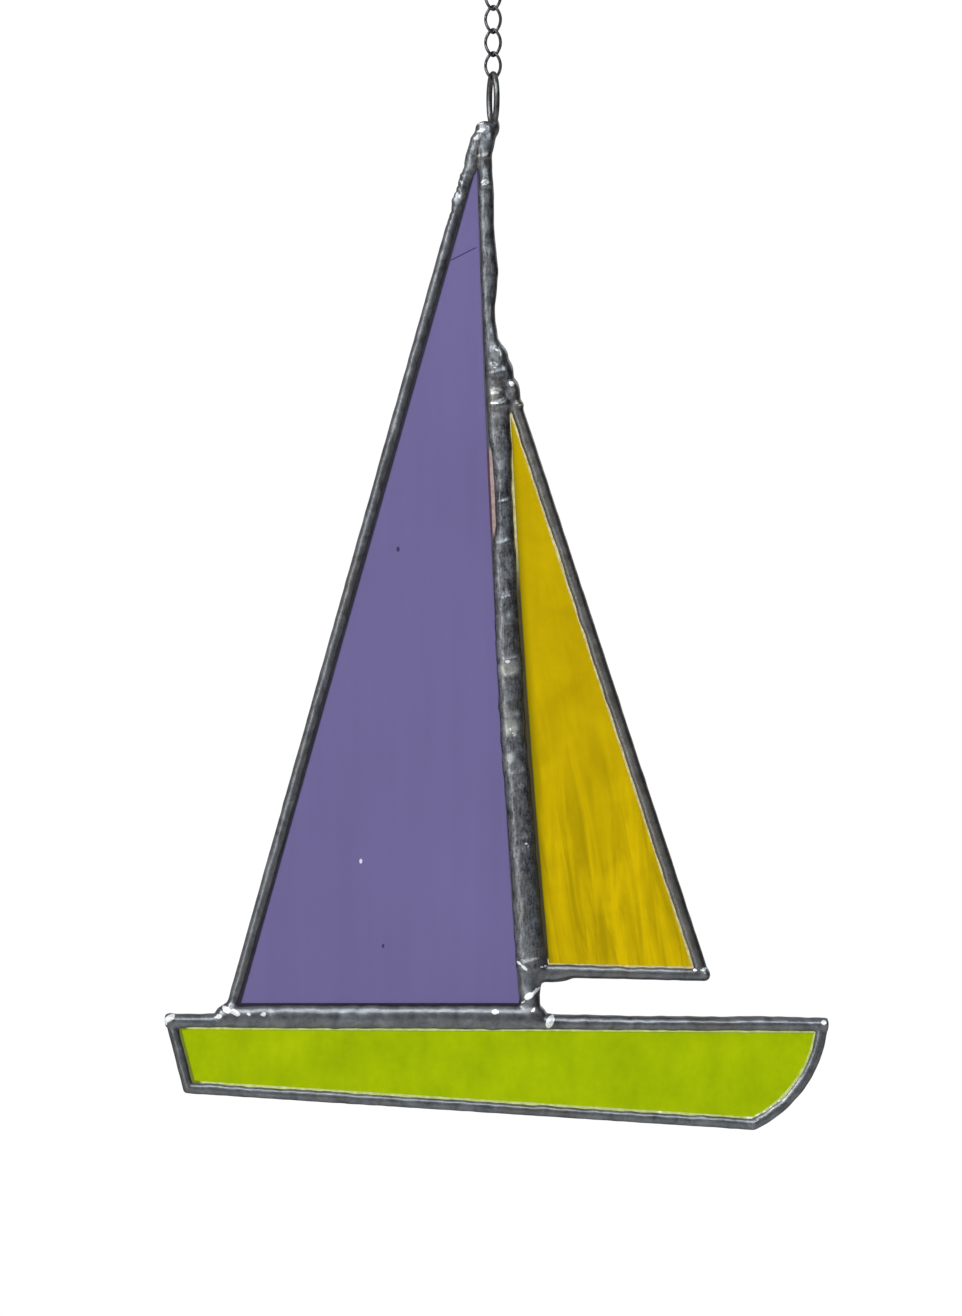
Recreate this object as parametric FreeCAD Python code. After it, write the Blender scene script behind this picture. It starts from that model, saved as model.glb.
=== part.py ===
import FreeCAD, Part
import math
import os
from FreeCAD import Vector

# A stained glass sailboat that hangs from a short chain.
# Lengths are in millimetres and angles in degrees. +X points to the bow, +Z up and +Y away from the viewer.
# The origin is the middle of the ring at the top of the chain.

# Hull pane: its deck edge runs the whole length, the bow is curved and the stern is raked.
glass_thickness = 3.0
hull_length = 109.0
stern_distance = 53.9
stern_height = 11.6
stern_rake = 3.0
bow_height = 17.1
bow_overhang = 11.7
bow_bulge = 2.8
deck_drop = 0.6

# Mainsail pane: its luff leans aft along the mast and is slightly hollow.
boom_gap = 1.25
mainsail_height = 145.25
mainsail_foot = 50.0
mainsail_head = 1.85
luff_distance = 6.0
luff_lean = 7.25
luff_hollow = 0.9

# Jib pane: it stands clear of the deck, ahead of the mast.
jib_lift = 6.65
jib_height = 100.6
jib_foot = 27.3
jib_foot_drop = 0.65
jib_head = 0.9
jib_luff_round = 0.65
mast_gap_foot = 2.4
mast_gap_head = 1.1

# Copper foil tape, folded round the edge of each pane and tinned.
foil_thickness = 0.1
foil_lap = 1.55

# Solder round each pane: how far it laps the glass, how far it stands out and how proud it is.
solder_lap = 1.25
edge_bead = 0.75
jib_edge_bead = 0.95
edge_dome = 0.4
edge_rounding = 0.6

# Solder seams: how far they lap the glass, how proud the mast, boom and deck stand, and their free sides.
seam_lap = 1.4
mast_dome = 0.9
masthead_dome = 0.7
boom_dome = 0.9
deck_dome = 0.6
masthead_side = 1.0
mast_foot_side = 2.6
deck_side = 1.1

# Round lumps of solder where the seams end or meet: radius and height over all.
masthead_lump = (2.1, 6.0)
loop_lump = (1.6, 3.4)
jib_head_lump = (2.7, 10.4)
mast_foot_lump = (2.6, 6.4)
boom_end_lump = (2.1, 4.3)

# Wire loop soldered into the masthead, turned nearly edge-on to the viewer.
loop_wire = 1.0
loop_width = 5.0
loop_length = 9.3
loop_seat = 2.2
loop_turn = -72.0

# Curb chain: oval links, each twisted so that its ends cross its neighbours' at right angles.
link_wire = 0.5
link_length = 4.9
link_width = 3.0
link_twist = 45.0
link_count = 5
hang_clearance = 0.05

# Plain ring that the chain hangs from.
ring_wire = 1.2
ring_bore = 10.0
ring_turn = 45.0

# Number of bends in a loop of wire, and of places where a seam's width is set.
loop_bends = 12
seam_places = 7

os.makedirs("parts", exist_ok=True)


def save(shape, node):
    shape.exportStep("parts/" + node + ".step")


# The boat is laid out flat on the bench, with x along the hull, y up the mast and z through the glass.
# x is 0 straight below the chain and y is 0 at the stern end of the hull pane's deck edge.
def closed(*edges):
    return Part.Wire(list(edges))


def line(start, end):
    return Part.LineSegment(start, end).toShape()


def bowed_line(start, end, bulge):
    """An arc that bulges to the right of the way from start to end."""
    along = (end - start).normalize()
    middle = (start + end) * 0.5 + Vector(along.y, -along.x, 0) * bulge
    return Part.Arc(start, middle, end).toShape()


def share_along(start, end, y):
    return (y - start.y) / (end.y - start.y)


def bowed_x(start, end, bulge, y):
    """x of a bowed line at a height, where the line is steep."""
    share = share_along(start, end, y)
    return start.x + (end.x - start.x) * share + 4 * bulge * share * (1 - share)


stern_top = Vector(-stern_distance, 0, 0)
bow_top = stern_top + Vector(hull_length, -deck_drop, 0)
bow_bottom = bow_top - Vector(bow_overhang, bow_height, 0)
stern_bottom = stern_top + Vector(stern_rake, -stern_height, 0)

luff_foot = Vector(luff_distance, boom_gap, 0)
luff_top = luff_foot + Vector(-luff_lean, mainsail_height, 0)
leech_top = luff_top - Vector(mainsail_head, 0, 0)
leech_foot = luff_foot - Vector(mainsail_foot, 0, 0)


def mainsail_luff(y):
    return bowed_x(luff_foot, luff_top, -luff_hollow, y)


jib_tack_y = boom_gap + jib_lift
jib_head_y = jib_tack_y + jib_height
jib_tack = Vector(mainsail_luff(jib_tack_y) + mast_gap_foot, jib_tack_y, 0)
jib_top = Vector(mainsail_luff(jib_head_y) + mast_gap_head, jib_head_y, 0)
jib_leech_top = jib_top + Vector(jib_head, 0, 0)
jib_clew = jib_tack + Vector(jib_foot, -jib_foot_drop, 0)


def jib_luff(y):
    return bowed_x(jib_tack, jib_top, -jib_luff_round, y)


def deck_edge(x):
    return -deck_drop * (x - stern_top.x) / hull_length


# The outlines run round anticlockwise, so a bulge to the right is outward.
pane_outlines = {
    "hull": closed(
        line(stern_top, stern_bottom),
        line(stern_bottom, bow_bottom),
        bowed_line(bow_bottom, bow_top, bow_bulge),
        line(bow_top, stern_top),
    ),
    "mainsail": closed(
        line(leech_foot, luff_foot),
        bowed_line(luff_foot, luff_top, -luff_hollow),
        line(luff_top, leech_top),
        line(leech_top, leech_foot),
    ),
    "jib": closed(
        line(jib_tack, jib_clew),
        line(jib_clew, jib_leech_top),
        line(jib_leech_top, jib_top),
        bowed_line(jib_top, jib_tack, jib_luff_round),
    ),
}


def slab(outline, thickness):
    """A plate of an outline's shape, half its thickness on each side of the bench plane."""
    plate = Part.Face(outline).extrude(Vector(0, 0, thickness))
    plate.translate(Vector(0, 0, -thickness / 2))
    return plate


def foil_cover(outline):
    return slab(outline.makeOffset2D(foil_thickness), glass_thickness + 2 * foil_thickness)


def foil_channel(outline):
    """Tape folded over the edge of a pane, open in the middle on both faces."""
    cover = foil_cover(outline)
    middle = slab(outline.makeOffset2D(-foil_lap), glass_thickness + 4 * foil_thickness)
    return cover.cut(slab(outline, glass_thickness)).cut(middle)


# A seam's section is an ellipse as deep as the glass and both its domes.
# At the height of the foil it is narrower than in the middle of the glass, by this share.
def share_at_foil(dome):
    return math.sqrt(1 - ((glass_thickness / 2 + foil_thickness) / (glass_thickness / 2 + dome)) ** 2)


def section(centre, across, half_width, half_depth):
    """Two half ellipses, the first from one side over the front to the other side."""
    side = across * half_width
    deep = Vector(0, 0, half_depth)
    if half_width > half_depth:
        ellipse = Part.Ellipse(centre + side, centre + deep, centre)
        start = 0
    else:
        ellipse = Part.Ellipse(centre + deep, centre - side, centre)
        start = -math.pi / 2
    front = Part.ArcOfEllipse(ellipse, start, start + math.pi)
    back = Part.ArcOfEllipse(ellipse, start + math.pi, start + 2 * math.pi)
    return closed(front.toShape(), back.toShape())


def seam_section(low, high, dome):
    """A section whose sides meet the foil at two points, over a pane on each side."""
    across = (high - low).normalize()
    half_width = (high - low).Length / 2 / share_at_foil(dome)
    return section((low + high) * 0.5, across, half_width, glass_thickness / 2 + dome)


def edge_section(low, high, dome):
    """A section that meets the foil at the first point, with its free side at the second."""
    across = (high - low).normalize()
    half_width = (high - low).Length / (1 + share_at_foil(dome))
    return section(high - across * half_width, across, half_width, glass_thickness / 2 + dome)


def edge_solder(outline, reach):
    """A frame of solder with rounded rims all the way round a pane."""
    depth = glass_thickness + 2 * edge_dome
    frame = slab(outline.makeOffset2D(reach), depth)
    rims = [edge for edge in frame.Edges if edge.BoundBox.ZLength < depth / 2]
    frame = frame.makeFillet(edge_rounding, rims)
    return frame.cut(slab(outline.makeOffset2D(-solder_lap), 2 * depth))


def places(start, end):
    return [start + (end - start) * k / (seam_places - 1) for k in range(seam_places)]


def mast_seam():
    return Part.makeLoft(
        [
            seam_section(
                Vector(mainsail_luff(y) - seam_lap, y, 0),
                Vector(jib_luff(y) + seam_lap, y, 0),
                mast_dome,
            )
            for y in places(jib_tack_y - edge_bead, jib_head_y)
        ],
        True,
    )


def masthead_seam():
    return Part.makeLoft(
        [
            edge_section(
                Vector(mainsail_luff(y) - seam_lap, y, 0),
                Vector(mainsail_luff(y) + masthead_side, y, 0),
                masthead_dome,
            )
            for y in places(jib_head_y, luff_top.y)
        ],
        True,
    )


def mast_foot_seam():
    return Part.makeLoft(
        [
            edge_section(
                Vector(mainsail_luff(y) - seam_lap, y, 0),
                Vector(mainsail_luff(y) + mast_foot_side, y, 0),
                mast_dome,
            )
            for y in places(deck_edge(luff_foot.x), jib_tack_y)
        ],
        True,
    )


def boom_seam():
    return Part.makeLoft(
        [
            seam_section(
                Vector(x, deck_edge(x) - seam_lap, 0),
                Vector(x, luff_foot.y + seam_lap, 0),
                boom_dome,
            )
            for x in (leech_foot.x, luff_foot.x)
        ],
        True,
    )


def deck_seam():
    """A bead along the whole deck that tapers off past the stern and the bow."""
    across = Vector(0, 1, 0)
    full_width = (seam_lap + deck_side) / (1 + share_at_foil(deck_dome))
    full_depth = glass_thickness / 2 + deck_dome
    taper = ((edge_bead, 0.35), (edge_bead / 2, 0.8), (-edge_bead / 2, 1))
    stations = [(stern_top.x - past, share) for past, share in taper]
    stations += [(bow_top.x + past, share) for past, share in reversed(taper)]
    sections = []
    for x, share in stations:
        centre = Vector(x, deck_edge(x) + deck_side - full_width, 0)
        sections.append(section(centre, across, full_width * share, full_depth * share))
    return Part.makeLoft(sections, True, True)


def lump(x, y, size):
    """An upright lump with round ends."""
    radius, height = size
    straight = height / 2 - radius
    side = math.sqrt(0.5) * radius
    profile = closed(
        line(Vector(0, -straight - radius, 0), Vector(0, straight + radius, 0)),
        Part.Arc(
            Vector(0, straight + radius, 0), Vector(side, straight + side, 0), Vector(radius, straight, 0)
        ).toShape(),
        line(Vector(radius, straight, 0), Vector(radius, -straight, 0)),
        Part.Arc(
            Vector(radius, -straight, 0), Vector(side, -straight - side, 0), Vector(0, -straight - radius, 0)
        ).toShape(),
    )
    solid = Part.Face(profile).revolve(Vector(0, 0, 0), Vector(0, 1, 0), 360)
    solid.translate(Vector(x, y, 0))
    return solid


def boat_solder(loop):
    """All the solder in one piece, with room for the wire loop and the foiled panes."""
    outlines = pane_outlines
    pieces = [
        edge_solder(outlines["hull"], edge_bead),
        edge_solder(outlines["mainsail"], edge_bead),
        edge_solder(outlines["jib"], jib_edge_bead),
        mast_seam(),
        lump(jib_top.x, jib_head_y, jib_head_lump),
        masthead_seam(),
        mast_foot_seam(),
        boom_seam(),
        deck_seam(),
        lump(luff_top.x, luff_top.y, masthead_lump),
        lump(0, luff_top.y + loop_seat, loop_lump),
        lump(luff_foot.x, luff_foot.y, mast_foot_lump),
        lump(leech_foot.x, 0, boom_end_lump),
    ]
    metal = pieces[0]
    for piece in pieces[1:]:
        metal = metal.fuse(piece)
    for outline in outlines.values():
        metal = metal.cut(foil_cover(outline))
    return metal.cut(loop)


# Wire loops are bent from straight wire, so each is a ring of short bends joined by straight runs.
def oval_points(width, length, twist):
    """Corners that bend into an oval, upright, with its ends turned from its middle by the twist."""
    corner = math.cos(math.pi / loop_bends)
    points = []
    for k in range(loop_bends):
        turn = 2 * math.pi * (k + 0.5) / loop_bends
        out = width / 2 * math.cos(turn) / corner
        lift = length / 2 * math.sin(turn) / corner
        aside = math.radians(-twist * 2 * lift / length)
        points.append(Vector(out * math.cos(aside), out * math.sin(aside), lift))
    return points


def bent_wire(points, diameter):
    """Round wire along a closed row of points, bent as gently at each as the runs beside it allow."""
    run_share = 0.45
    bends = []
    pieces = []
    for k, corner in enumerate(points):
        back = points[k - 1] - corner
        ahead = points[(k + 1) % len(points)] - corner
        reach = run_share * min(back.Length, ahead.Length)
        back.normalize()
        ahead.normalize()
        start = corner + back * reach
        turn = math.pi - back.getAngle(ahead)
        axis = ahead.cross(back).normalize()
        centre = start + back.cross(axis).normalize() * (reach / math.tan(turn / 2))
        disc = Part.Face(Part.Wire(Part.makeCircle(diameter / 2, start, back)))
        pieces.append(disc.revolve(centre, axis, math.degrees(turn)))
        bends.append((start, corner + ahead * reach))
    for k, (start, end) in enumerate(bends):
        run = bends[(k + 1) % len(bends)][0] - end
        disc = Part.Face(Part.Wire(Part.makeCircle(diameter / 2, end, run)))
        pieces.append(disc.extrude(run))
    return pieces[0].multiFuse(pieces[1:]).removeSplitter().Solids[0]


def wire_oval(width, length, diameter, twist):
    return bent_wire(oval_points(width - diameter, length - diameter, twist), diameter)


def hung(shape, height, turn=0):
    placed = shape.copy()
    placed.rotate(Vector(0, 0, 0), Vector(0, 0, 1), turn)
    placed.translate(Vector(0, 0, height))
    return placed


# Everything hangs below the ring. Where two wires cross, the lower one rests over the upper one's bottom.
ring_bottom = -(ring_bore + ring_wire) / 2
link_reach = (link_length - link_wire) / 2
top_link_z = ring_bottom + (ring_wire + link_wire) / 2 + hang_clearance - link_reach
link_pitch = 2 * link_reach - link_wire - hang_clearance
bottom_link_z = top_link_z - (link_count - 1) * link_pitch
loop_top = bottom_link_z - link_reach + (link_wire + loop_wire) / 2 + hang_clearance
loop_z = loop_top - (loop_length - loop_wire) / 2
boat_z = loop_z - loop_length / 2 - loop_seat - luff_top.y


def stood_up(shape):
    """From the bench to where the boat hangs."""
    placed = shape.copy()
    placed.rotate(Vector(0, 0, 0), Vector(1, 0, 0), 90)
    placed.translate(Vector(0, 0, boat_z))
    return placed


def laid_down(shape):
    """From where the boat hangs to the bench."""
    placed = shape.copy()
    placed.translate(Vector(0, 0, -boat_z))
    placed.rotate(Vector(0, 0, 0), Vector(1, 0, 0), -90)
    return placed


ring = Part.makeTorus((ring_bore + ring_wire) / 2, ring_wire / 2, Vector(0, 0, 0), Vector(0, 1, 0))
save(hung(ring, 0, ring_turn), "hanging_ring")

link = wire_oval(link_width, link_length, link_wire, link_twist)
for number in range(link_count):
    save(hung(link, top_link_z - number * link_pitch), "chain_link_" + str(number + 1))

loop = hung(wire_oval(loop_width, loop_length, loop_wire, 0), loop_z, loop_turn)
save(loop, "masthead_loop")

for pane, outline in pane_outlines.items():
    save(stood_up(slab(outline, glass_thickness)), pane + "_glass")
    save(stood_up(foil_channel(outline)), pane + "_foil")

save(stood_up(boat_solder(laid_down(loop))), "solder")
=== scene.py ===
import math

import bpy
import numpy as np
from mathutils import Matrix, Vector


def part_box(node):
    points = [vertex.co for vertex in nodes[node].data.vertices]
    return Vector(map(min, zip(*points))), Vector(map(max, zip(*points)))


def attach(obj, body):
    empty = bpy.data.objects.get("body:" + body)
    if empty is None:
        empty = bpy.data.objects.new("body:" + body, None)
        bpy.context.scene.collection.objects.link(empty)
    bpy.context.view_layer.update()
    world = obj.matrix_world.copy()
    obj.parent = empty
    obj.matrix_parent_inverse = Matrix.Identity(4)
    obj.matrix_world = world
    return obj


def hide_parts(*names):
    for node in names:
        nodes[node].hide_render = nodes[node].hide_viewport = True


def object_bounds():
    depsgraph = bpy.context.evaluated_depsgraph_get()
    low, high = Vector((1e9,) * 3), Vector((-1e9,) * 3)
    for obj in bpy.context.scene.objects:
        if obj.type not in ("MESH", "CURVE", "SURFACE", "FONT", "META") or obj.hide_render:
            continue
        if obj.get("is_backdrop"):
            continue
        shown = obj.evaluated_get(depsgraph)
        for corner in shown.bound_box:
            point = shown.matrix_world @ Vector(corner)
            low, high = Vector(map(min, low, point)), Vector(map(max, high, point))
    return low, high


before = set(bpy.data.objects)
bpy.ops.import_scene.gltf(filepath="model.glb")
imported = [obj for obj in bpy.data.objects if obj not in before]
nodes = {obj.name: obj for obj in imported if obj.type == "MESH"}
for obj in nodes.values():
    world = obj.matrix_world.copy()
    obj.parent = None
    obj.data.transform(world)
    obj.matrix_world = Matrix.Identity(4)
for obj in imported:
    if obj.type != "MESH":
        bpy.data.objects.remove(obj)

cad_low, cad_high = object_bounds()

# The photograph's view
# A level camera straight in front of the boat, far enough off that the panes look flat. Its picture
# is as tall as the photograph, which cuts the chain off below the hanging ring.
MM = 0.001
PICTURE_MIDDLE = Vector((-2.0, 0, -121.0)) * MM
PICTURE_HEIGHT = 219.3 * MM
CAMERA_DISTANCE = 0.9
SENSOR = 36.0

camera_data = bpy.data.cameras.new("camera")
camera_data.sensor_width = SENSOR
camera_data.lens = SENSOR * CAMERA_DISTANCE / PICTURE_HEIGHT
camera = bpy.data.objects.new("camera", camera_data)
camera.location = PICTURE_MIDDLE - Vector((0, CAMERA_DISTANCE, 0))
camera.rotation_euler = (math.radians(90), 0, 0)
bpy.context.collection.objects.link(camera)
bpy.context.scene.camera = camera
bpy.context.scene.view_settings.view_transform = "Standard"

# Mainsail pane
# A sheet of smooth violet glass, cut with a wheel and ground at its edges. It is nearly even, with a faint
# vertical reed, one scratch near the head and three seeds.
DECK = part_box("hull_glass")[1].z / MM


def at(x, up):
    """A place on the boat: millimetres towards the bow and above the stern end of the deck."""
    return x, DECK + up


class Shade:
    """An output of a shader node. Sums, differences and products of these are plain expressions."""

    def __init__(self, tree, socket=None):
        self.tree = tree
        self.socket = socket

    def node(self, kind, settings=None, sockets=None, out=0):
        """Any node: its settings are set first, then its sockets get values or links."""
        made = self.tree.nodes.new("ShaderNode" + kind)
        for name, value in (settings or {}).items():
            setattr(made, name, value)
        for name, value in (sockets or {}).items():
            if isinstance(value, Shade):
                self.tree.links.new(value.socket, made.inputs[name])
            else:
                made.inputs[name].default_value = value
        return Shade(self.tree, made.outputs[out])

    def math(self, operation, first, second=0.0, clamp=False):
        return self.node("Math", {"operation": operation, "use_clamp": clamp}, {0: first, 1: second})

    def __add__(self, other):
        return self.math("ADD", self, other)

    def __sub__(self, other):
        return self.math("SUBTRACT", self, other)

    def __rsub__(self, other):
        return self.math("SUBTRACT", other, self)

    def __mul__(self, other):
        return self.math("MULTIPLY", self, other)

    __radd__ = __add__
    __rmul__ = __mul__

    def vector(self, operation, second, out=0):
        """Arithmetic on this as a vector."""
        return self.node("VectorMath", {"operation": operation}, {0: self, 1: second}, out)

    def part(self, axis):
        """One part of a vector: 0 towards the bow, 1 away through the glass, 2 up."""
        return self.node("SeparateXYZ", None, {0: self}, out=axis)

    def held(self):
        """Kept between 0 and 1."""
        return self.math("ADD", self, 0.0, clamp=True)

    def rise(self, low, high):
        """0 below low and 1 above high, with a smooth climb between."""
        return self.node(
            "MapRange",
            {"interpolation_type": "SMOOTHSTEP"},
            {"Value": self, "From Min": low, "From Max": high},
        )

    def over(self, colour, under):
        """A colour laid over another where this mask is 1."""
        return self.node("Mix", {"data_type": "RGBA"}, {0: self, 6: rgba(under), 7: rgba(colour)}, out=2)


def rgba(colour):
    """A colour with its alpha, or a shade as it is."""
    return colour if isinstance(colour, Shade) else (*colour, 1)


class Finish:
    """A material made of one Principled shader, with the mesh's own place in millimetres to paint by."""

    def __init__(self, name, **constants):
        self.material = bpy.data.materials.new(name)
        self.material.use_nodes = True
        self.tree = self.material.node_tree
        self.surface = self.tree.nodes["Principled BSDF"]
        for socket, value in constants.items():
            self.surface.inputs[socket.replace("_", " ")].default_value = value
        self.shade = Shade(self.tree)
        place = self.shade.node("TexCoord", out=3)
        self.place = self.shade.node("VectorMath", {"operation": "SCALE"}, {0: place, 3: 1 / MM})

    def stretched(self, x, y, z):
        """The place, scaled along each axis. Noise read there is drawn out where the share is small."""
        return self.place.vector("MULTIPLY", (x, y, z))

    def cloud(self, size, detail=3.0, place=None, rough=0.5, twist=0.0):
        """Noise from 0 to 1, with patches about size millimetres across."""
        return self.shade.node(
            "TexNoise",
            None,
            {
                "Vector": place or self.place,
                "Scale": 1 / size,
                "Detail": detail,
                "Roughness": rough,
                "Distortion": twist,
            },
        )

    def near(self, x, z, inner, outer, stretch=1.0):
        """1 near a point of the front view and 0 further off."""
        flat = self.place.vector("SUBTRACT", (x, 0, z)).vector("MULTIPLY", (1, 0, 1 / stretch))
        return 1 - flat.vector("LENGTH", (0, 0, 0), out=1).rise(inner, outer)

    def wear(self, socket, value):
        """Lets a value that varies over the surface drive one of the shader's sockets."""
        self.tree.links.new(value.socket, self.surface.inputs[socket])

    def emboss(self, height, depth, strength=1.0):
        """Small relief, depth millimetres for a height of 1."""
        relief = {"Height": height, "Distance": depth * MM, "Strength": strength}
        self.wear("Normal", self.shade.node("Bump", None, relief))


def dress(node, finish):
    """A CAD node that keeps its shape gets a finish."""
    nodes[node].data.materials.clear()
    nodes[node].data.materials.append(finish.material)


mainsail = Finish("violet_glass", Roughness=0.22, IOR=1.3)
reed = mainsail.cloud(2.6, 2.0, mainsail.stretched(1, 1, 0.06))
haze = mainsail.cloud(38.0, 2.0)
plum = (reed - 0.5) * 0.3 + (haze - 0.5) * 0.6
plum = (plum + 0.5).held().over((0.184, 0.154, 0.330), (0.128, 0.105, 0.240))
for x, up, size, colour in (
    (-15.8, 78.3, 0.35, (0.06, 0.04, 0.10)),
    (-18.3, 12.3, 0.28, (0.06, 0.04, 0.10)),
    (-22.0, 26.4, 0.3, (0.75, 0.72, 0.85)),
):
    plum = mainsail.near(*at(x, up), size * 0.6, size, 1.6).over(colour, plum)
scratch_start = Vector((-7.3, 0, at(0, 126.2)[1]))
scratch_way = Vector((4.9, 0, 2.5))
scratch_side = Vector((-scratch_way.z, 0, scratch_way.x))
from_start = mainsail.place.vector("SUBTRACT", scratch_start)
along = from_start.vector("DOT_PRODUCT", scratch_way.normalized(), out=1)
aside = from_start.vector("DOT_PRODUCT", scratch_side.normalized(), out=1)
aside = mainsail.shade.math("ABSOLUTE", aside)
scratch = (1 - aside.rise(0.05, 0.16)) * along.rise(0.0, 0.5) * (1 - along.rise(4.6, scratch_way.length))
plum = (scratch * 0.85).over((0.035, 0.02, 0.07), plum)
mainsail.wear("Base Color", plum)
mainsail.wear("Roughness", 0.19 + reed * 0.08)
mainsail.emboss(reed * 0.6 + mainsail.cloud(14.0, 1.0) * 0.4 - scratch * 0.5, 0.05, 0.6)
dress("mainsail_glass", mainsail)

# Jib pane
# Amber cathedral glass from the same sort of sheet. It is cloudier, with wisps that run up the sail from
# its foot, and beside the mast a painted shadow of the mast's bead darkens it.
jib = Finish("amber_glass", Roughness=0.2, IOR=1.3, Specular_IOR_Level=0.3)
WISP_LEAN = 0.16
up = jib.place.part(2) - DECK
low_down = 1 - up.rise(12, 62)
leaning = jib.shade.node(
    "VectorRotate", {"rotation_type": "Y_AXIS"}, {"Vector": jib.place, "Angle": WISP_LEAN}
)
wisp = jib.cloud(2.1, 3.0, leaning.vector("MULTIPLY", (1, 1, 0.10)), 0.6, 0.9)
cloudy = jib.cloud(9.0, 4.0, None, 0.55, 0.5)
amber = (wisp - 0.5) * (0.5 + low_down * 2.6) + cloudy
amber = amber.held().over((0.660, 0.450, 0.0), (0.400, 0.275, 0.0))
# Painted shadow: a darker olive strip on the glass beside the mast, where the mast's bead shades it.
from_mast = jib.place.part(0) + up * 0.075 - 9.69
by_mast = (1 - from_mast.rise(-0.2, 1.7)) * (0.5 + cloudy * 0.4)
jib.wear("Base Color", by_mast.over((0.15, 0.12, 0.0), amber))
jib.wear("Roughness", 0.16 + cloudy * 0.1)
jib.emboss(wisp * 0.7 + cloudy * 0.3, 0.07, 0.6)
dress("jib_glass", jib)

# Hull pane
# Lime glass, the most even of the three, slightly mottled. It is cut with a raked stern and a curved bow,
# and its edges are ground like the others.
hull = Finish("lime_glass", Roughness=0.2, IOR=1.3, Specular_IOR_Level=0.3)
mottle = hull.cloud(7.0, 4.0, None, 0.6)
grain = hull.cloud(1.2, 2.0)
streak = hull.cloud(3.0, 3.0, hull.stretched(1, 1, 0.3), 0.6)
lime = ((mottle - 0.5) * 1.3 + (streak - 0.5) * 0.8 + (grain - 0.5) * 0.4 + 0.5).held()
hull.wear("Base Color", lime.over((0.430, 0.530, 0.0), (0.272, 0.375, 0.0)))
hull.wear("Roughness", 0.17 + mottle * 0.1)
hull.emboss(mottle * 0.5 + grain * 0.5, 0.05, 0.5)
dress("hull_glass", hull)

# Foil
# Copper tape with an adhesive back, folded over the edge of each pane and tinned. Only a thin lip shows
# past the solder: dark on the mainsail, bare by the mast, and pale on the jib and the hull.
def foil_finish(name, tone, dark):
    """A crinkled foil, with its own place along the boat and above the deck to paint by."""
    foil = Finish(name, Metallic=0.3, Roughness=0.42)
    crinkle = foil.cloud(0.9, 3.0)
    foil.crinkle = ((crinkle - 0.5) * 1.6 + 0.5).held()
    foil.along = foil.place.part(0)
    foil.up = foil.place.part(2) - DECK
    foil.wear("Roughness", 0.3 + crinkle * 0.3)
    foil.emboss(crinkle, 0.05, 0.7)
    return foil, foil.crinkle.over(tone, dark)


# The mainsail's foil is black on the leech and foot, tinned by the mast, and bare copper along part of it.
black_foil, colour = foil_finish("dark_lip_foil", (0.020, 0.014, 0.030), (0.008, 0.005, 0.014))
up = black_foil.up
by_mast = (black_foil.along - up * 0.115).rise(-19, -18) * up.rise(3.0, 3.6)
colour = by_mast.over((0.075, 0.07, 0.085), colour)
bare = up.rise(80.0, 81.5) * (1 - up.rise(94.0, 96.0)) * by_mast
past_lip = (black_foil.along + up * 0.0446 - 3.19).rise(0.3, 0.45)
copper = black_foil.crinkle.over((0.50, 0.39, 0.35), (0.30, 0.21, 0.19))
copper = past_lip.over(copper, (0.085, 0.028, 0.05))
black_foil.wear("Base Color", bare.over(copper, colour))
dress("mainsail_foil", black_foil)

pale_foil, colour = foil_finish("pale_jib_foil", (0.80, 0.72, 0.42), (0.46, 0.38, 0.10))
# Painted shadow: the jib foil's lip is dark beside the mast, below the upper jib, where the mast's bead
# shades it.
shaded = (1 - (pale_foil.along + pale_foil.up * 0.07).rise(11, 13)) * (1 - pale_foil.up.rise(70, 82))
pale_foil.wear("Base Color", (shaded * pale_foil.up.rise(9.8, 10.4)).over((0.05, 0.04, 0.01), colour))
dress("jib_foil", pale_foil)

green_foil, colour = foil_finish("pale_hull_foil", (0.76, 0.80, 0.36), (0.44, 0.52, 0.08))
# Painted shade: the lip turns dark olive along the stern's inner edge, in the shadow of the stern's bead.
stern_shade = 1 - (green_foil.along + green_foil.up * 0.25).rise(-51.6, -50.8)
colour = stern_shade.over((0.16, 0.19, 0.02), colour)
# Painted glints: near-white specks of light on the lip, most of them where the keel meets the bow.
for x, up, size in (
    (42.7, -16.3, 0.55), (43.9, -15.7, 0.5), (45.2, -15.3, 0.35), (46.3, -14.5, 0.3),
    (47.6, -13.5, 0.3), (50.2, -10.9, 0.35), (27.8, -15.3, 0.35),
):
    colour = green_foil.near(*at(x, up), size * 0.7, size, 0.8).over((0.97, 0.96, 0.80), colour)
green_foil.wear("Base Color", colour)
dress("hull_foil", green_foil)

# Solder
# Tin and lead solder, run on by hand in beads along the panes' edges, mast, boom and deck, and darkened
# with a patina. Each bead is a field that is negative inside the metal, the fields flow into each other,
# and a net of points is pulled over the whole.
CELL = 0.27
GRID_LOW = np.array([-55.3, -2.97, -21.0])
GRID_HIGH = np.array([58.3, 2.97, 153.5])
FAR = 9.0
HALF_GLASS = 1.5
FOIL_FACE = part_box("hull_foil")[1].y / MM
# A bead's section is a squashed oval, round at its free sides and flat over the glass. Its field climbs by
# its half width, or by this many millimetres where the bead is wider.
SIDE_POWER, FACE_POWER, SIZE_POWER = 2.2, 4, 0.36
MOST_CLIMB = 1.6
grid = [np.arange(low, high + CELL, CELL) for low, high in zip(GRID_LOW, GRID_HIGH)]
# Every place in the grid, along, through and up, and then only along and up.
GX, GY, GU = grid[0][:, None, None], grid[1][None, :, None], grid[2][None, None, :]
FX, FU = grid[0][:, None], grid[2][None, :]
metal = np.full([len(line) for line in grid], FAR, np.float32)
random = np.random.default_rng(7)


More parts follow.
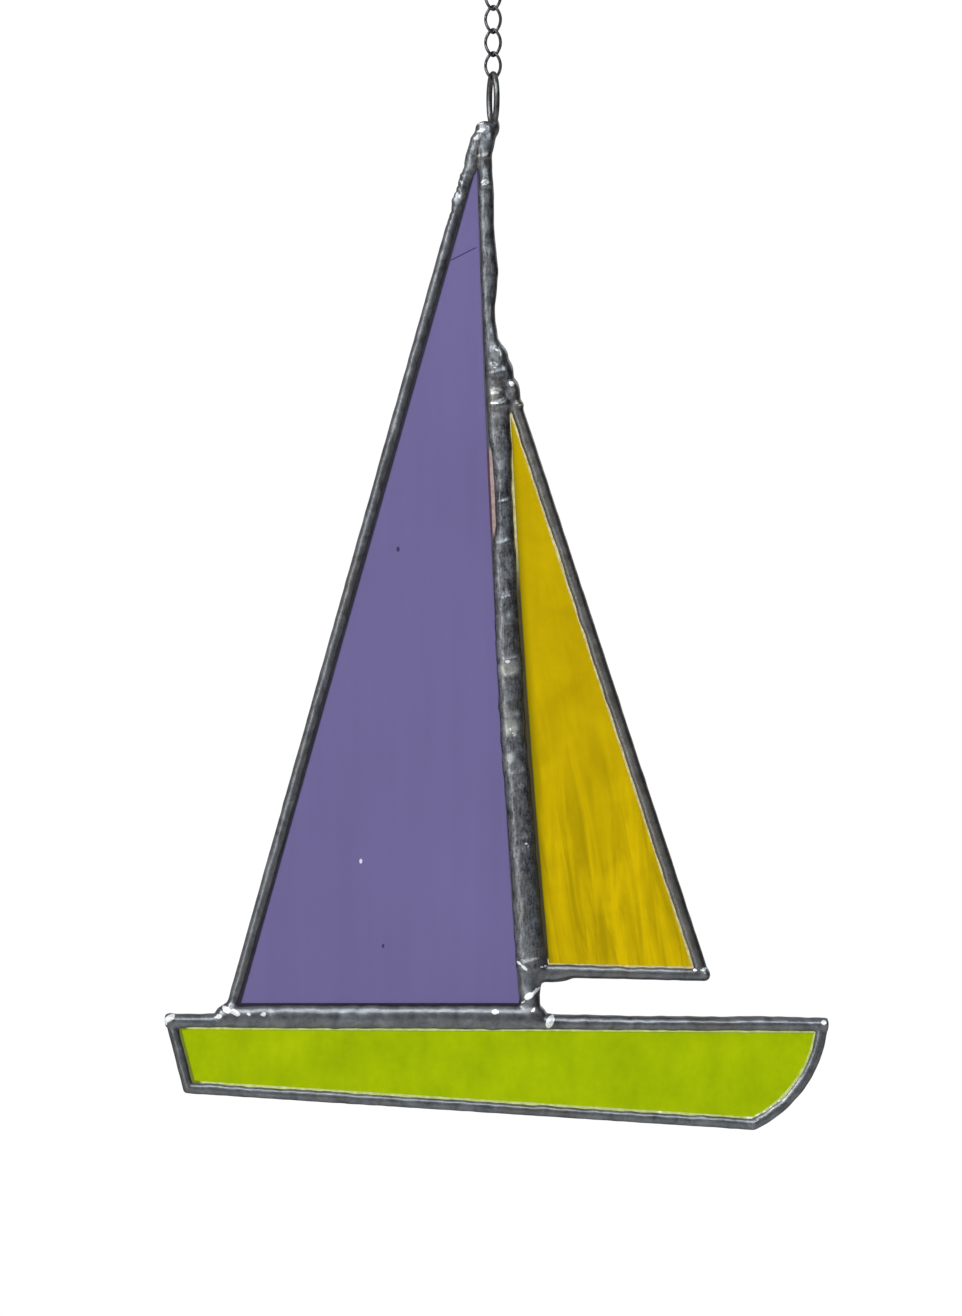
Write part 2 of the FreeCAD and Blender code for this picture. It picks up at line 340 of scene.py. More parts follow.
def waves(size, count=9, flat=False):
    """Smooth unevenness about size millimetres across, roughly from -1 to 1."""
    total = 0
    for _ in range(count):
        way = random.normal(size=3)
        way *= random.uniform(0.7, 1.4) * 2 * math.pi / size / np.linalg.norm(way)
        phase = random.uniform(0, 2 * math.pi)
        if flat:
            total = total + np.sin(FX * way[0] + FU * way[2] + phase)
        else:
            total = total + np.sin(GX * way[0] + GY * way[1] + GU * way[2] + phase)
    return (total / math.sqrt(count / 2) * 0.6).astype(np.float32)


def flow(new, fillet, region=np.s_[:, :, :]):
    """Joins a bead to the rest with a fillet about so many millimetres deep."""
    old = metal[region]
    blend = np.maximum(fillet - np.abs(old - new), 0) / fillet
    metal[region] = np.minimum(old, new) - blend * blend * fillet / 4


def region_of(x_low, x_high, u_low, u_high):
    """The grid's cells between two places along and two heights."""
    x = np.searchsorted(grid[0], [x_low, x_high])
    u = np.searchsorted(grid[2], [u_low, u_high])
    return np.s_[x[0] : x[1], :, u[0] : u[1]]


def bead(side, half_width, half_depth, fillet):
    """A bead's field from the flat distance to its middle line, its half width and its half depth."""
    round_sides = (np.abs(side) / half_width) ** SIDE_POWER
    flat_faces = (np.abs(GY) / half_depth[:, None, :]) ** FACE_POWER
    size = (round_sides[:, None, :] + flat_faces) ** SIZE_POWER
    flow(((size - 1) * np.minimum(half_width, MOST_CLIMB)[:, None, :]).astype(np.float32), fillet)


def grip(half_depth):
    """Half width at the foil's face, as a share of the half width in the middle of the glass."""
    return (1 - (FOIL_FACE / half_depth) ** FACE_POWER) ** (1 / SIDE_POWER)


FLUSH = 0.01


def pane_outline(node):
    """The corners of a pane's front face, in order, in millimetres. A point is on it within FLUSH."""
    mesh = nodes[node].data
    points = np.array([v.co for v in mesh.vertices]) / MM
    front = points[:, 1] < points[:, 1].min() + FLUSH
    uses = {}
    for face in mesh.polygons:
        corners = list(face.vertices)
        if all(front[c] for c in corners):
            for a, b in zip(corners, corners[1:] + corners[:1]):
                a, b = (tuple(np.round(points[c][[0, 2]], 4)) for c in (a, b))
                uses[(a, b)] = uses.get((a, b), 0) + 1
    follow = {a: b for (a, b) in uses if (b, a) not in uses}
    start = next(iter(follow))
    outline = [start]
    while follow[outline[-1]] != start:
        outline.append(follow[outline[-1]])
    return np.array(outline) - (0, DECK)


def outside(outline):
    """Flat distance from a pane's edge, negative over the pane."""
    best = np.full((len(grid[0]), len(grid[2])), 1e9)
    inside = np.zeros(best.shape, bool)
    for (ax, au), (bx, bu) in zip(outline, np.roll(outline, -1, axis=0)):
        dx, du = bx - ax, bu - au
        share = np.clip(((FX - ax) * dx + (FU - au) * du) / (dx * dx + du * du), 0, 1)
        best = np.minimum(best, np.hypot(FX - ax - share * dx, FU - au - share * du))
        crosses = (au > FU) != (bu > FU)
        inside ^= crosses & (FX < ax + (FU - au) / (du if du else 1e-9) * dx)
    return np.where(inside, -best, best)


outlines = {pane: pane_outline(pane + "_glass") for pane in ("hull", "mainsail", "jib")}
pane_edges = {pane: outside(outline) for pane, outline in outlines.items()}


def middle_of(outline):
    """Halfway between a sail's luff and its leech, at each height."""
    low, high = outline[:, 1].min(), outline[:, 1].max()
    foot = outline[outline[:, 1] < low + 1.5][:, 0].mean()
    head = outline[outline[:, 1] > high - 1.5][:, 0].mean()
    return np.interp(grid[2], (low, high), (foot, head))[None, :]


# The mast's own bead covers both luffs, so the edge beads stop short of them.
by_the_mast = {
    "hull": False,
    "mainsail": FX > middle_of(outlines["mainsail"]),
    "jib": (FX < middle_of(outlines["jib"])) & (FU > 12),
}

# Edge beads: how far each stands out from its pane and laps it. Crumbs of solder stick to the mainsail's
# leech below the masthead.
EDGE_HALF_DEPTH = 2.0
long_waves = waves(17.0, flat=True)
short_waves = waves(3.4, flat=True)
fine_waves = waves(1.15, flat=True)
crumbs = np.exp(-(((FX + 6.5) / 3.0) ** 2) - ((FU - 138) / 4.5) ** 2) * (FX < -4.5)
for pane, reach, lap in (("hull", 0.70, 1.22), ("mainsail", 0.70, 1.06), ("jib", 0.86, 1.25)):
    depth = EDGE_HALF_DEPTH + 0.05 * long_waves + 0.02 * short_waves
    if pane == "mainsail":
        lap = lap + 0.5 * np.clip((FU - 132) / 10, 0, 1)
    reach = reach + crumbs * (fine_waves * 0.45 + short_waves * 0.2 - 0.1)
    width = (reach + lap) / (1 + grip(EDGE_HALF_DEPTH)) + 0.03 * long_waves + 0.02 * short_waves
    side = np.where(by_the_mast[pane], FAR, pane_edges[pane] - reach + width + 0.02 * short_waves)
    bead(side, width, depth, fillet=0.3)

# The mast's bead, from the mast foot up: height, left side, right side, how free its right side is, and
# how proud it stands. The left side draws back where the foil is bare.
MAST = np.array([
    (0.2, 4.7, 8.4, 0.5, 0.85), (2.3, 4.6, 7.8, 1, 0.8), (4.0, 4.5, 7.7, 1, 0.7),
    (5.8, 4.3, 8.1, 1, 0.6), (7.9, 4.1, 9.0, 0.4, 0.62), (8.5, 3.9, 8.9, 0, 1.0),
    (11.5, 3.75, 8.7, 0, 0.95), (18.0, 3.35, 8.0, 0, 0.95), (24.8, 3.0, 7.5, 0, 1.0),
    (31.5, 2.45, 6.9, 0, 0.95), (38.2, 1.95, 6.3, 0, 1.0), (44.8, 1.45, 5.7, 0, 0.85),
    (48.0, 1.2, 5.4, 0, 1.05), (51.5, 1.0, 5.3, 0, 0.9), (57.0, 0.75, 4.9, 0, 0.9),
    (59.7, 0.6, 4.8, 0, 1.0), (64.8, 0.4, 4.4, 0, 0.9), (71.5, 0.1, 4.0, 0, 0.9),
    (78.2, -0.15, 3.8, 0, 0.95), (80.5, 0.15, 3.6, 0, 0.9), (82.5, 0.45, 3.5, 0, 0.9),
    (86.0, 0.3, 3.3, 0, 0.95), (90.0, 0.15, 3.2, 0, 0.9), (93.5, -0.1, 3.1, 0, 0.9),
    (95.5, -0.6, 3.1, 0, 0.9), (101.2, -1.0, 2.8, 0, 0.9), (102.5, -1.15, 3.0, 0, 1.15),
    (105.2, -1.2, 2.5, 0, 0.85), (108.0, -1.3, 2.7, 0.3, 1.0), (111.0, -1.5, 2.2, 0.8, 1.0),
    (113.5, -1.6, 0.9, 1, 0.85), (116.2, -1.65, 0.4, 1, 0.7), (119.0, -1.7, 0.4, 1, 0.7),
    (121.7, -1.9, 0.7, 1, 0.75), (124.5, -2.1, 0.85, 1, 0.8), (128.2, -2.1, 0.55, 1, 0.7),
    (132.5, -2.3, 0.2, 1, 0.65), (136.5, -2.35, 0.1, 1, 0.7), (139.5, -2.3, 0.1, 1, 0.7),
    (141.5, -2.3, -0.1, 1, 0.6), (144.2, -2.4, -0.2, 1, 0.75), (146.5, -2.6, 0.2, 1, 0.75),
    (148.5, -2.6, 0.3, 1, 0.6),
])
left, right, free, proud = (np.interp(grid[2], MAST[:, 0], MAST[:, k])[None, :] for k in range(1, 5))
for height, swell, spread in (
    (8.6, 0.16, 0.35), (59.7, 0.12, 0.3), (57.2, 0.07, 0.35), (50.0, 0.07, 0.8), (47.4, 0.08, 0.7),
    (79.4, 0.14, 0.3), (86.2, 0.16, 0.3), (102.6, 0.28, 0.45), (107.9, 0.2, 0.4), (144.4, 0.22, 0.3),
    (139.6, 0.25, 0.4), (40.5, 0.05, 0.4), (37.8, 0.05, 0.35), (29.3, 0.06, 0.4), (70.1, 0.1, 0.3),
):
    proud = proud + swell * np.exp(-(((FU - height - 0.25 * (FX - 2)) / spread) ** 2))
proud = np.clip(proud + 0.08 * long_waves + 0.05 * short_waves + 0.015 * fine_waves, 0.3, 1.2)
left = left + 0.07 * short_waves + 0.03 * fine_waves
right = right + 0.08 * short_waves
half_depth = HALF_GLASS + proud
half_width = (right - left) / (grip(half_depth) * (2 - free) + free)
middle = left + grip(half_depth) * half_width
beyond = np.maximum(FU - MAST[-1, 0], 0) + np.maximum(MAST[0, 0] - FU, 0)
bead(np.hypot(FX - middle, beyond * 1.4), half_width, half_depth, fillet=0.35)

# The boom's bead and the deck's behind and before it: place along, height of the lower and the upper side,
# how free the upper side is, and for the whole bead how proud it stands.
BOOM = (
    (-44.6, -1.0, 2.2, 0), (-38, -1.15, 2.35, 0), (-30, -1.25, 2.4, 0), (-27, -1.25, 2.3, 0),
    (-24.5, -1.25, 2.42, 0), (0, -1.3, 2.42, 0), (7.0, -1.3, 2.3, 0),
)
AFT_DECK = ((-54.2, -0.95, 0.85, 1), (-46, -1.0, 0.9, 1), (-40, -1.1, 0.9, 1))
FORE_DECK = (
    (6.0, -1.35, 0.9, 1), (14, -1.4, 0.75, 1), (24, -1.45, 0.5, 1), (30, -1.45, 0.55, 1),
    (36, -1.5, 0.35, 1), (44, -1.5, 0.5, 1), (52, -1.55, 0.25, 1), (56.4, -1.5, 0.15, 1),
)
for stations, proudest in ((BOOM, 0.98), (AFT_DECK, 0.62), (FORE_DECK, 0.64)):
    table = np.array(stations)
    low, high, open_side = (np.interp(grid[0], table[:, 0], table[:, k])[:, None] for k in (1, 2, 3))
    depth = HALF_GLASS + proudest + 0.06 * long_waves + 0.03 * short_waves
    half = (high - low) / (grip(depth) * (2 - open_side) + open_side) + 0.03 * short_waves
    centre = low + grip(depth) * half
    beyond = np.maximum(table[0, 0] - FX, 0) + np.maximum(FX - table[-1, 0], 0)
    bead(np.hypot(FU - centre, beyond), half, depth, fillet=0.3)

# Lumps where beads meet or end: place along, up and through, and half sizes along, up and through.
for x, up, y, across, tall, deep in (
    (-1.8, 147.6, 0, 0.95, 1.0, 2.1), (-0.8, 148.2, 0, 1.0, 1.1, 1.9), (0.35, 148.7, 0, 0.75, 1.6, 1.6),
    (-0.6, 146.4, 0, 0.75, 2.2, 1.9), (-2.6, 146.5, 0, 0.9, 1.4, 1.9), (-2.7, 142.8, 0, 0.7, 2.2, 1.75),
    (0.7, 110.4, 0, 1.7, 2.1, 2.62), (1.9, 107.8, 0, 1.5, 2.3, 2.35),
    (0.1, 111.2, -1.6, 0.9, 0.9, 1.0), (1.1, 110.6, -1.8, 0.5, 1.1, 0.8), (3.1, 105.8, -1.75, 0.5, 0.5, 0.6),
    (3.6, 104.4, 0, 0.9, 2.2, 2.1), (4.3, 102.4, 0, 0.8, 0.6, 2.2), (0.5, 104.0, -1.6, 1.2, 1.0, 1.0),
    (6.1, 3.6, 0, 1.4, 1.5, 2.5), (6.4, 0.9, 0, 1.7, 1.9, 2.4),
    (9.3, -0.3, 0, 0.7, 1.1, 2.2), (9.9, 7.2, 0, 3.2, 1.05, 1.95), (-43.6, 1.7, 0, 1.4, 1.2, 2.2),
    (-44.9, 0.3, 0, 1.2, 1.1, 2.15), (-53.75, 0.15, 0, 0.8, 0.75, 1.95), (55.3, -0.75, 0, 1.0, 0.8, 2.0),
    (35.4, 7.6, 0, 0.7, 0.75, 2.0), (43.4, -17.2, 0, 1.2, 0.7, 1.95),
):
    reach = 1.3 * max(across, tall)
    where = region_of(x - reach, x + reach, up - reach, up + reach)
    size = ((GX[where[0]] - x) / across) ** 2 + ((GY - y) / deep) ** 2
    size = np.sqrt(size + ((GU[:, :, where[2]] - up) / tall) ** 2)
    flow(((size - 1) * min(across, tall)).astype(np.float32), fillet=0.45, region=where)

# Small pits, where the flux boiled: place along, up and through, and half size.
for x, up, y, size in (
    (0.0, 109.5, -2.65, 0.5), (0.5, 109.2, -2.65, 0.4), (5.8, 29.2, -2.6, 0.35), (3.4, 47.5, -2.6, 0.3),
    (2.6, 105.2, -2.3, 0.4), (0.1, 105.5, -2.6, 0.4),
):
    where = region_of(x - 1, x + 1, up - 1, up + 1)
    hollow = size - np.sqrt((GX[where[0]] - x) ** 2 + (GY - y) ** 2 + (GU[:, :, where[2]] - up) ** 2)
    metal[where] = np.maximum(metal[where], hollow.astype(np.float32))

metal += 0.016 * waves(2.8) + 0.004 * waves(1.3)
# None of it shows inside the glass, so each pane's groove is cut a little short of its foil. The beads then
# stay just inside the solid that they replace.
GROOVE, SOLID_MARGIN = 0.3, 0.03
for edge in pane_edges.values():
    slab = np.maximum(edge[:, None, :] + GROOVE, np.abs(GY) - (FOIL_FACE - GROOVE))
    metal = np.maximum(metal, -slab.astype(np.float32))
low, high = (np.array(corner) / MM - (0, 0, DECK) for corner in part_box("solder"))
for axis, place in enumerate((GX, GY, GU)):
    past = np.maximum(low[axis] + SOLID_MARGIN - place, place - high[axis] + SOLID_MARGIN)
    metal = np.maximum(metal, past.astype(np.float32))


def net_over(field):
    """Points and four-cornered faces of a net pulled over the field's zero surface."""
    inner = field < 0
    corners = [(a, b, c) for a in (0, 1) for b in (0, 1) for c in (0, 1)]
    n = [size - 1 for size in field.shape]
    count = sum(inner[a : a + n[0], b : b + n[1], c : c + n[2]].astype(np.int8) for a, b, c in corners)
    cells = np.argwhere((count > 0) & (count < 8))
    number = np.full(n, -1, np.int64)
    number[tuple(cells.T)] = np.arange(len(cells))
    values = np.stack([field[tuple((cells + corner).T)] for corner in corners], 1)
    total, hits = np.zeros((len(cells), 3)), np.zeros(len(cells))
    for i, first in enumerate(corners):
        for j, second in enumerate(corners):
            if j > i and sum(abs(p - q) for p, q in zip(first, second)) == 1:
                crossed = (values[:, i] < 0) != (values[:, j] < 0)
                share = np.where(crossed, values[:, i] / (values[:, i] - values[:, j] + 1e-12), 0)
                point = np.array(first) + share[:, None] * (np.array(second) - np.array(first))
                total += np.where(crossed[:, None], point, 0)
                hits += crossed
    points = cells + total / hits[:, None]
    faces = []
    for axis in range(3):
        one, two = [k for k in range(3) if k != axis]
        step = np.eye(3, dtype=int)
        ahead = np.take(inner, range(1, field.shape[axis]), axis)
        behind = np.take(inner, range(field.shape[axis] - 1), axis)
        edges = np.argwhere(ahead != behind)
        edges = edges[(edges[:, one] > 0) & (edges[:, two] > 0)]
        edges = edges[(edges[:, one] < n[one]) & (edges[:, two] < n[two])]
        ring = [edges - step[one] - step[two], edges - step[two], edges, edges - step[one]]
        quad = np.stack([number[tuple(cell.T)] for cell in ring], 1)
        outward = behind[tuple(edges.T)] != (axis == 1)
        faces.append(np.where(outward[:, None], quad, quad[:, ::-1]))
    return points, np.concatenate(faces)


def new_piece(name, points, faces, finish, body, node):
    """A piece in place of a CAD node, its points in millimetres."""
    mesh = bpy.data.meshes.new(name)
    mesh.from_pydata((points * MM).tolist(), [], faces)
    mesh.polygons.foreach_set("use_smooth", [True] * len(mesh.polygons))
    mesh.materials.append(finish.material)
    piece = bpy.data.objects.new(name, mesh)
    bpy.context.collection.objects.link(piece)
    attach(piece, body)
    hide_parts(node)
    return piece


net, faces = net_over(metal)
net = net * CELL + GRID_LOW + (0, 0, DECK)

solder = Finish("dark_patina_solder", Metallic=1.0, Roughness=0.36, Specular_Tint=(0.35, 0.35, 0.35, 1))
patches = solder.cloud(2.4, 4.0, None, 0.6, 0.6)
speckle = solder.cloud(0.42, 3.0, None, 0.6)
tarnish = solder.cloud(9.0, 2.0)
painted_highlight = solder.shade.node("Attribute", {"attribute_name": "painted_highlight"}, out=2)
dull = solder.shade.node("Attribute", {"attribute_name": "dull"}, out=2)
grain = solder.cloud(0.3, 2.0, solder.stretched(1, 1, 0.22))
up = solder.place.part(2) - DECK
from_mast = solder.place.part(0) + up * 0.055 - 5.3
off_mast = solder.shade.math("ABSOLUTE", from_mast).rise(2.6, 3.8)
mast_grain = (1 - off_mast) * up.rise(6, 10) * (speckle - 0.5 + (grain - 0.5) * 1.6)
grey = ((patches - 0.5) * 1.5 + (speckle - 0.5) * 0.4 + mast_grain + 0.45).held()
painted_highlight = (painted_highlight + (speckle - 0.5) * 0.3).rise(0.42, 0.54)
colour = grey.over((0.325, 0.335, 0.35), (0.070, 0.072, 0.078))
warm = from_mast.rise(3.0, 4.5) * up.rise(8, 12)
colour = (warm * 0.55).over((0.205, 0.185, 0.155), colour)
brown = (tarnish.rise(0.52, 0.72) * 0.35).over((0.19, 0.165, 0.14), colour)
cream = (dull.rise(0.25, 0.6) * (0.3 + speckle * 0.8)).held().over((0.50, 0.51, 0.46), brown)
# Painted highlights: the near-white, less metallic daubs stand in for facets catching the light.
solder.wear("Base Color", painted_highlight.over((0.93, 0.93, 0.91), cream))
solder.wear("Metallic", 1 - painted_highlight * 0.45 - dull * 0.3)
solder.wear("Roughness", 0.26 + patches * 0.14 + speckle * 0.06)
solder.emboss(speckle * 0.35 + patches * 0.45 + grain * 0.2, 0.09, 0.55)
solder_beads = new_piece("solder_beads", net, faces.tolist(), solder, "boat", "solder")

MOST_TRIANGLES = 190000
thin = solder_beads.modifiers.new("thin", "DECIMATE")
thin.ratio = min(1.0, MOST_TRIANGLES / (len(faces) * 2))
bpy.context.view_layer.update()
evaluated = solder_beads.evaluated_get(bpy.context.evaluated_depsgraph_get())
thinned = bpy.data.meshes.new_from_object(evaluated)
solder_beads.modifiers.clear()
solder_beads.data = thinned
thinned.polygons.foreach_set("use_smooth", [True] * len(thinned.polygons))

# Painted highlights, near-white daubs where the solder's facets catch the light, and dull daubs, on the
# front only.
places = np.empty(len(thinned.vertices) * 3, np.float32)
thinned.vertices.foreach_get("co", places)
places = places.reshape(-1, 3) / MM - (0, 0, DECK)
facing = (places[:, 1] < 0).astype(np.float32)


def daubs(name, spots):
    """A mask over the solder: place, half sizes along and up, lean in degrees, and strength."""
    mask = np.zeros(len(places))
    for x, up, along, tall, lean, amount in spots:
        turn = math.radians(lean)
        dx, du = places[:, 0] - x, places[:, 2] - up
        a = (dx * math.cos(turn) + du * math.sin(turn)) / along
        b = (du * math.cos(turn) - dx * math.sin(turn)) / tall
        mask = np.maximum(mask, amount * np.clip(1.45 - 0.95 * np.hypot(a, b), 0, 1))
    layer = thinned.attributes.new(name, "FLOAT", "POINT")
    layer.data.foreach_set("value", (mask * facing).astype(np.float32))


daubs("painted_highlight", (
    (-2.05, 147.9, 0.9, 0.2, 15, 0.85), (-2.0, 149.1, 0.6, 0.16, 12, 0.75), (-2.1, 144.4, 0.7, 0.14, 5, 0.5),
    (-1.5, 139.6, 1.0, 0.2, 40, 0.6), (0.5, 111.2, 0.5, 0.4, 0, 0.6), (0.1, 108.5, 0.7, 0.18, -10, 0.7),
    (-0.3, 109.4, 0.15, 0.6, 0, 0.6), (1.3, 110.7, 0.2, 0.6, 0, 0.6), (3.1, 105.8, 0.42, 0.42, 0, 1),
    (-0.1, 104.2, 0.35, 0.25, 0, 0.7), (0.2, 102.6, 0.9, 0.16, -3, 0.75), (4.6, 102.3, 0.5, 0.14, 15, 0.7),
    (2.4, 59.6, 0.42, 0.26, 0, 1), (3.2, 59.7, 0.9, 0.1, 0, 0.45), (2.8, 48.4, 0.3, 0.2, -30, 0.7),
    (3.3, 47.7, 0.25, 0.13, 20, 0.6), (3.5, 40.6, 0.2, 0.15, 0, 0.6), (5.5, 29.3, 0.3, 0.22, 30, 0.8),
    (4.3, 9.5, 0.5, 0.22, -40, 0.9), (5.2, 8.7, 0.7, 0.26, -42, 0.9), (6.6, 8.1, 0.9, 0.12, 8, 0.5),
    (6.0, 4.0, 0.9, 0.5, 28, 1), (7.2, 4.9, 0.9, 0.26, 40, 1), (5.0, 3.0, 0.4, 0.14, 20, 0.8),
    (6.7, 1.7, 0.5, 0.26, 50, 0.9), (0.4, 1.3, 0.8, 0.55, -15, 0.72), (9.5, -0.25, 0.62, 1.15, -22, 1),
    (-44.3, 1.7, 0.9, 0.42, -40, 1), (-45.6, 0.6, 0.5, 0.42, 20, 0.9), (-40.6, 1.0, 0.4, 0.36, 0, 0.8),
    (-38.2, 1.0, 0.5, 0.42, 0, 0.9), (-42.8, 1.2, 0.9, 0.45, -30, 0.9), (-53.8, 0.3, 1.0, 0.5, 32, 1),
    (-54.5, -0.3, 0.3, 0.6, 20, 0.9), (55.0, -0.4, 0.42, 0.42, 0, 1), (35.0, 8.4, 0.6, 0.25, 25, 0.95),
    (33.6, 8.3, 0.4, 0.22, 0, 0.8), (8.4, 8.9, 0.7, 0.2, 20, 0.8),
))
daubs("dull", (
    (2.6, 58.4, 2.2, 1.5, 0, 0.6), (2.9, 48.6, 1.4, 1.6, 0, 0.7), (2.9, 43.5, 0.8, 1.1, 0, 0.6),
    (0.6, 110.6, 1.5, 1.6, 0, 0.4), (0.3, 103.8, 1.2, 1.3, 0, 0.45), (-1.2, 138.9, 1.6, 1.2, 30, 0.35),
))

# Chain links
# Five oval links of fine steel wire, bent and twisted so that each lies flat against the next, their ends
# butted together at the side. The photograph shows the lowest four, the top one of them cut by its edge.
LINK_WIRE, LINK_LENGTH, LINK_WIDTH, LINK_TWIST = 0.5, 4.9, 3.0, 45.0
BUTT_GAP = 0.06
LINK_POINTS = 84
wire = Finish("dark_chain_wire", Metallic=1.0, Roughness=0.3, Specular_Tint=(0.15, 0.15, 0.15, 1))
rub = wire.cloud(0.9, 2.0)
sheen = ((rub - 0.5) * 1.8 + 0.5).held()
wire.wear("Base Color", sheen.over((0.15, 0.145, 0.16), (0.04, 0.04, 0.045)))
wire.wear("Roughness", 0.22 + rub * 0.2)
wire.emboss(rub, 0.03, 0.3)

# An open end's last three points: share of the wire's radius, and how far past the end in millimetres.
ROUNDED_END = ((0.35, 0.06), (0.75, 0.03), (0.95, 0.0))


def wire_tube(path, diameter, closed, sides=14):
    """Round wire along a row of points. An open one has rounded ends."""
    path = np.asarray(path, float)
    ahead = np.roll(path, -1, 0) - np.roll(path, 1, 0)
    if not closed:
        ahead[0], ahead[-1] = path[1] - path[0], path[-1] - path[-2]
    ahead /= np.linalg.norm(ahead, axis=1)[:, None]
    middle = path.mean(0)
    out = path - middle
    out -= (out * ahead).sum(1)[:, None] * ahead
    out /= np.linalg.norm(out, axis=1)[:, None]
    aside = np.cross(ahead, out)
    radius = np.full(len(path), diameter / 2)
    centres = path.copy()
    if not closed:
        for end, way in ((0, -1), (-1, 1)):
            for k, (share, push) in enumerate(ROUNDED_END):
                place = k if end == 0 else -1 - k
                radius[place] *= share
                centres[place] = path[end] + ahead[end] * way * push
    turns = np.arange(sides) * 2 * math.pi / sides
    rings = centres[:, None, :] + radius[:, None, None] * (
        np.cos(turns)[None, :, None] * out[:, None, :] + np.sin(turns)[None, :, None] * aside[:, None, :]
    )
    faces = []
    for k in range(len(path) if closed else len(path) - 1):
        after = (k + 1) % len(path)
        for s in range(sides):
            t = (s + 1) % sides
            faces.append((k * sides + s, k * sides + t, after * sides + t, after * sides + s))
    if not closed:
        faces.append(tuple(range(sides))[::-1])
        faces.append(tuple((len(path) - 1) * sides + s for s in range(sides)))
    return rings.reshape(-1, 3), faces


def oval(width, length, twist, start, end, count):
    """An upright oval with its ends turned from its middle by the twist."""
    turns = np.linspace(math.radians(start), math.radians(end), count)
    lift = length / 2 * np.sin(turns)
    aside = np.radians(-twist) * np.sin(turns)
    out = width / 2 * np.cos(turns)
    return np.stack([out * np.cos(aside), out * np.sin(aside), lift], 1)


half_gap = math.degrees(BUTT_GAP / LINK_WIDTH)
start, end = 180 + half_gap, 540 - half_gap
link_path = oval(LINK_WIDTH - LINK_WIRE, LINK_LENGTH - LINK_WIRE, LINK_TWIST, start, end, LINK_POINTS)
link_nodes = sorted(name for name in nodes if name.startswith("chain_link_"))
for number, node in enumerate(link_nodes):
    low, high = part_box(node)
    points, faces = wire_tube(link_path + np.array((low + high) / 2 / MM), LINK_WIRE, closed=False)
    link = f"link_{number + 1}"
    new_piece(link, points, faces, wire, link, node)

# Masthead loop
# An oval of stiffer wire, tinned and darkened with the rest. It stands nearly edge on to the viewer, and
# its lower end is sunk in the masthead's solder.
LOOP_WIRE, LOOP_WIDTH, LOOP_LENGTH, LOOP_TURN = 1.0, 5.0, 9.3, -72.0
LOOP_POINTS = 120
loop = Finish("dark_loop_wire", Metallic=1.0, Roughness=0.33, Specular_Tint=(0.3, 0.3, 0.3, 1))
smear = loop.cloud(0.8, 3.0)
smut = ((smear - 0.5) * 1.7 + 0.5).held()
loop.wear("Base Color", smut.over((0.20, 0.20, 0.20), (0.07, 0.07, 0.07)))
loop.wear("Roughness", 0.26 + smear * 0.2)
loop.emboss(smear, 0.08, 0.6)


def turned(path, degrees):
    """The path turned about an upright line."""
    turn = math.radians(degrees)
    x, y, z = path.T
    return np.stack([x * math.cos(turn) - y * math.sin(turn), x * math.sin(turn) + y * math.cos(turn), z], 1)


low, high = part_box("masthead_loop")
path = oval(LOOP_WIDTH - LOOP_WIRE, LOOP_LENGTH - LOOP_WIRE, 0, 0, 360, LOOP_POINTS + 1)[:-1]
path = turned(path, LOOP_TURN) + np.array((low + high) / 2 / MM)
points, faces = wire_tube(path, LOOP_WIRE, closed=True, sides=20)
new_piece("loop", points, faces, loop, "boat", "masthead_loop")

# Hanging ring
# A plain round ring of thicker wire, closed butt to butt at the top, that takes the hook. The photograph
# doesn't show it. It is drawn a hair small, to stay inside its solid.
RING_WIRE, RING_BORE, RING_TURN = 1.2, 10.0, 45.0
RING_POINTS = 140
RING_HALF_GAP = 0.4
HAIR = 0.02
ring_span = RING_BORE + RING_WIRE - HAIR
path = oval(ring_span, ring_span, 0, 90 + RING_HALF_GAP, 450 - RING_HALF_GAP, RING_POINTS)
points, faces = wire_tube(turned(path, RING_TURN), RING_WIRE, closed=False, sides=24)
new_piece("ring", points, faces, wire, "ring", "hanging_ring")

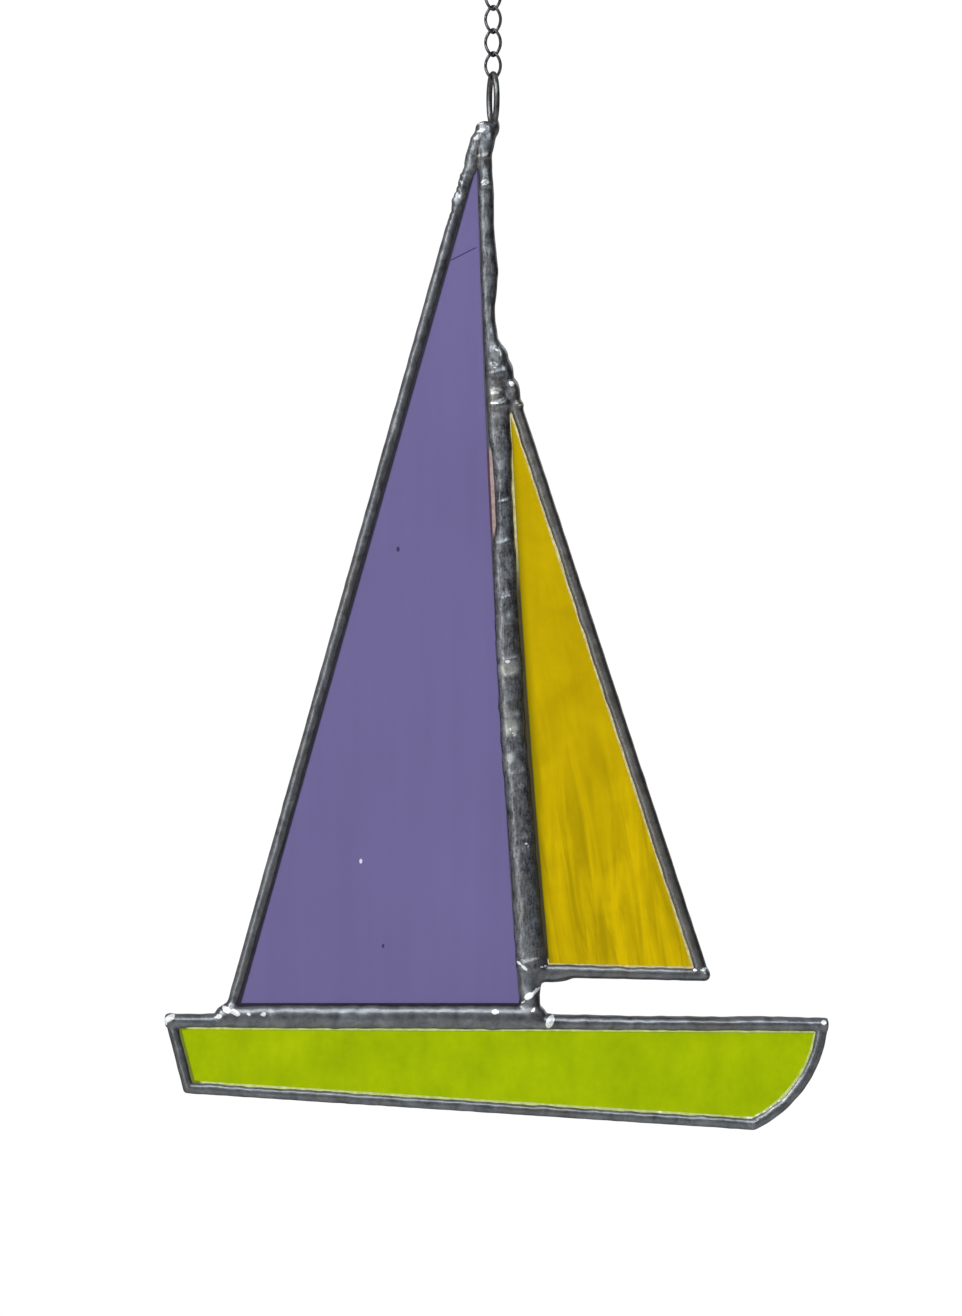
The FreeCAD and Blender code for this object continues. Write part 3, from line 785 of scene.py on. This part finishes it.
# Setting
# A round pale floor well below the boat, a white surround behind it and a grey one elsewhere. A key light
# and two long strips stand in front, at the upper left, above and to the left, and a soft fill behind.
FLOOR_DROP = 420 * MM
FLOOR_REACH = 3.0
FLOOR_SIDES = 96
floor_mesh = bpy.data.meshes.new("floor")
turns = np.arange(FLOOR_SIDES) * 2 * math.pi / FLOOR_SIDES
level = np.full(FLOOR_SIDES, cad_low.z - FLOOR_DROP)
rim = np.stack([FLOOR_REACH * np.cos(turns), FLOOR_REACH * np.sin(turns), level], 1)
floor_mesh.from_pydata(rim.tolist(), [], [tuple(range(FLOOR_SIDES))])
floor_finish = Finish("pale_floor", Roughness=0.9, Specular_IOR_Level=0.0, Base_Color=(0.66, 0.66, 0.65, 1))
floor_mesh.materials.append(floor_finish.material)
floor = bpy.data.objects.new("floor", floor_mesh)
bpy.context.collection.objects.link(floor)
floor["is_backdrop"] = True

world = bpy.data.worlds.new("surround")
bpy.context.scene.world = world
world.use_nodes = True
sky = Shade(world.node_tree)
direction = sky.node("TexCoord", out=0)
across, depth, height = (direction.part(axis) for axis in range(3))
room = (height * 0.8 - across * 0.45).rise(-0.33, 0.78).over((0.56, 0.57, 0.59), (0.055, 0.055, 0.06))
surround = depth.rise(0.45, 0.85).over((1.02, 1.02, 1.02), room)
backdrop = world.node_tree.nodes["Background"]
world.node_tree.links.new(surround.socket, backdrop.inputs["Color"])


def soft_light(name, place, size, power, colour=(1, 1, 1)):
    """A lamp that faces the boat and is out of the camera's sight. Place and size are in metres."""
    light = bpy.data.lights.new(name, "AREA")
    light.shape = "RECTANGLE"
    light.size, light.size_y = size
    light.energy = power
    light.color = colour
    lamp = bpy.data.objects.new(name, light)
    lamp.location = place
    aim = PICTURE_MIDDLE - lamp.location
    lamp.rotation_euler = aim.to_track_quat("-Z", "Y").to_euler()
    lamp.visible_camera = False
    bpy.context.collection.objects.link(lamp)


soft_light("key_light", Vector((-1.0, -0.8, 0.85)), (0.16, 0.16), 8.0)
soft_light("top_strip", Vector((-0.1, -1.0, 0.5)), (1.3, 0.14), 7.0, (0.86, 0.94, 1.0))
soft_light("side_strip", Vector((-0.62, -1.0, 0.05)), (0.14, 1.1), 2.2, (0.95, 0.98, 1.0))
soft_light("back_fill", Vector((0.9, 1.3, 0.6)), (0.8, 0.8), 5.0)

low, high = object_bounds()
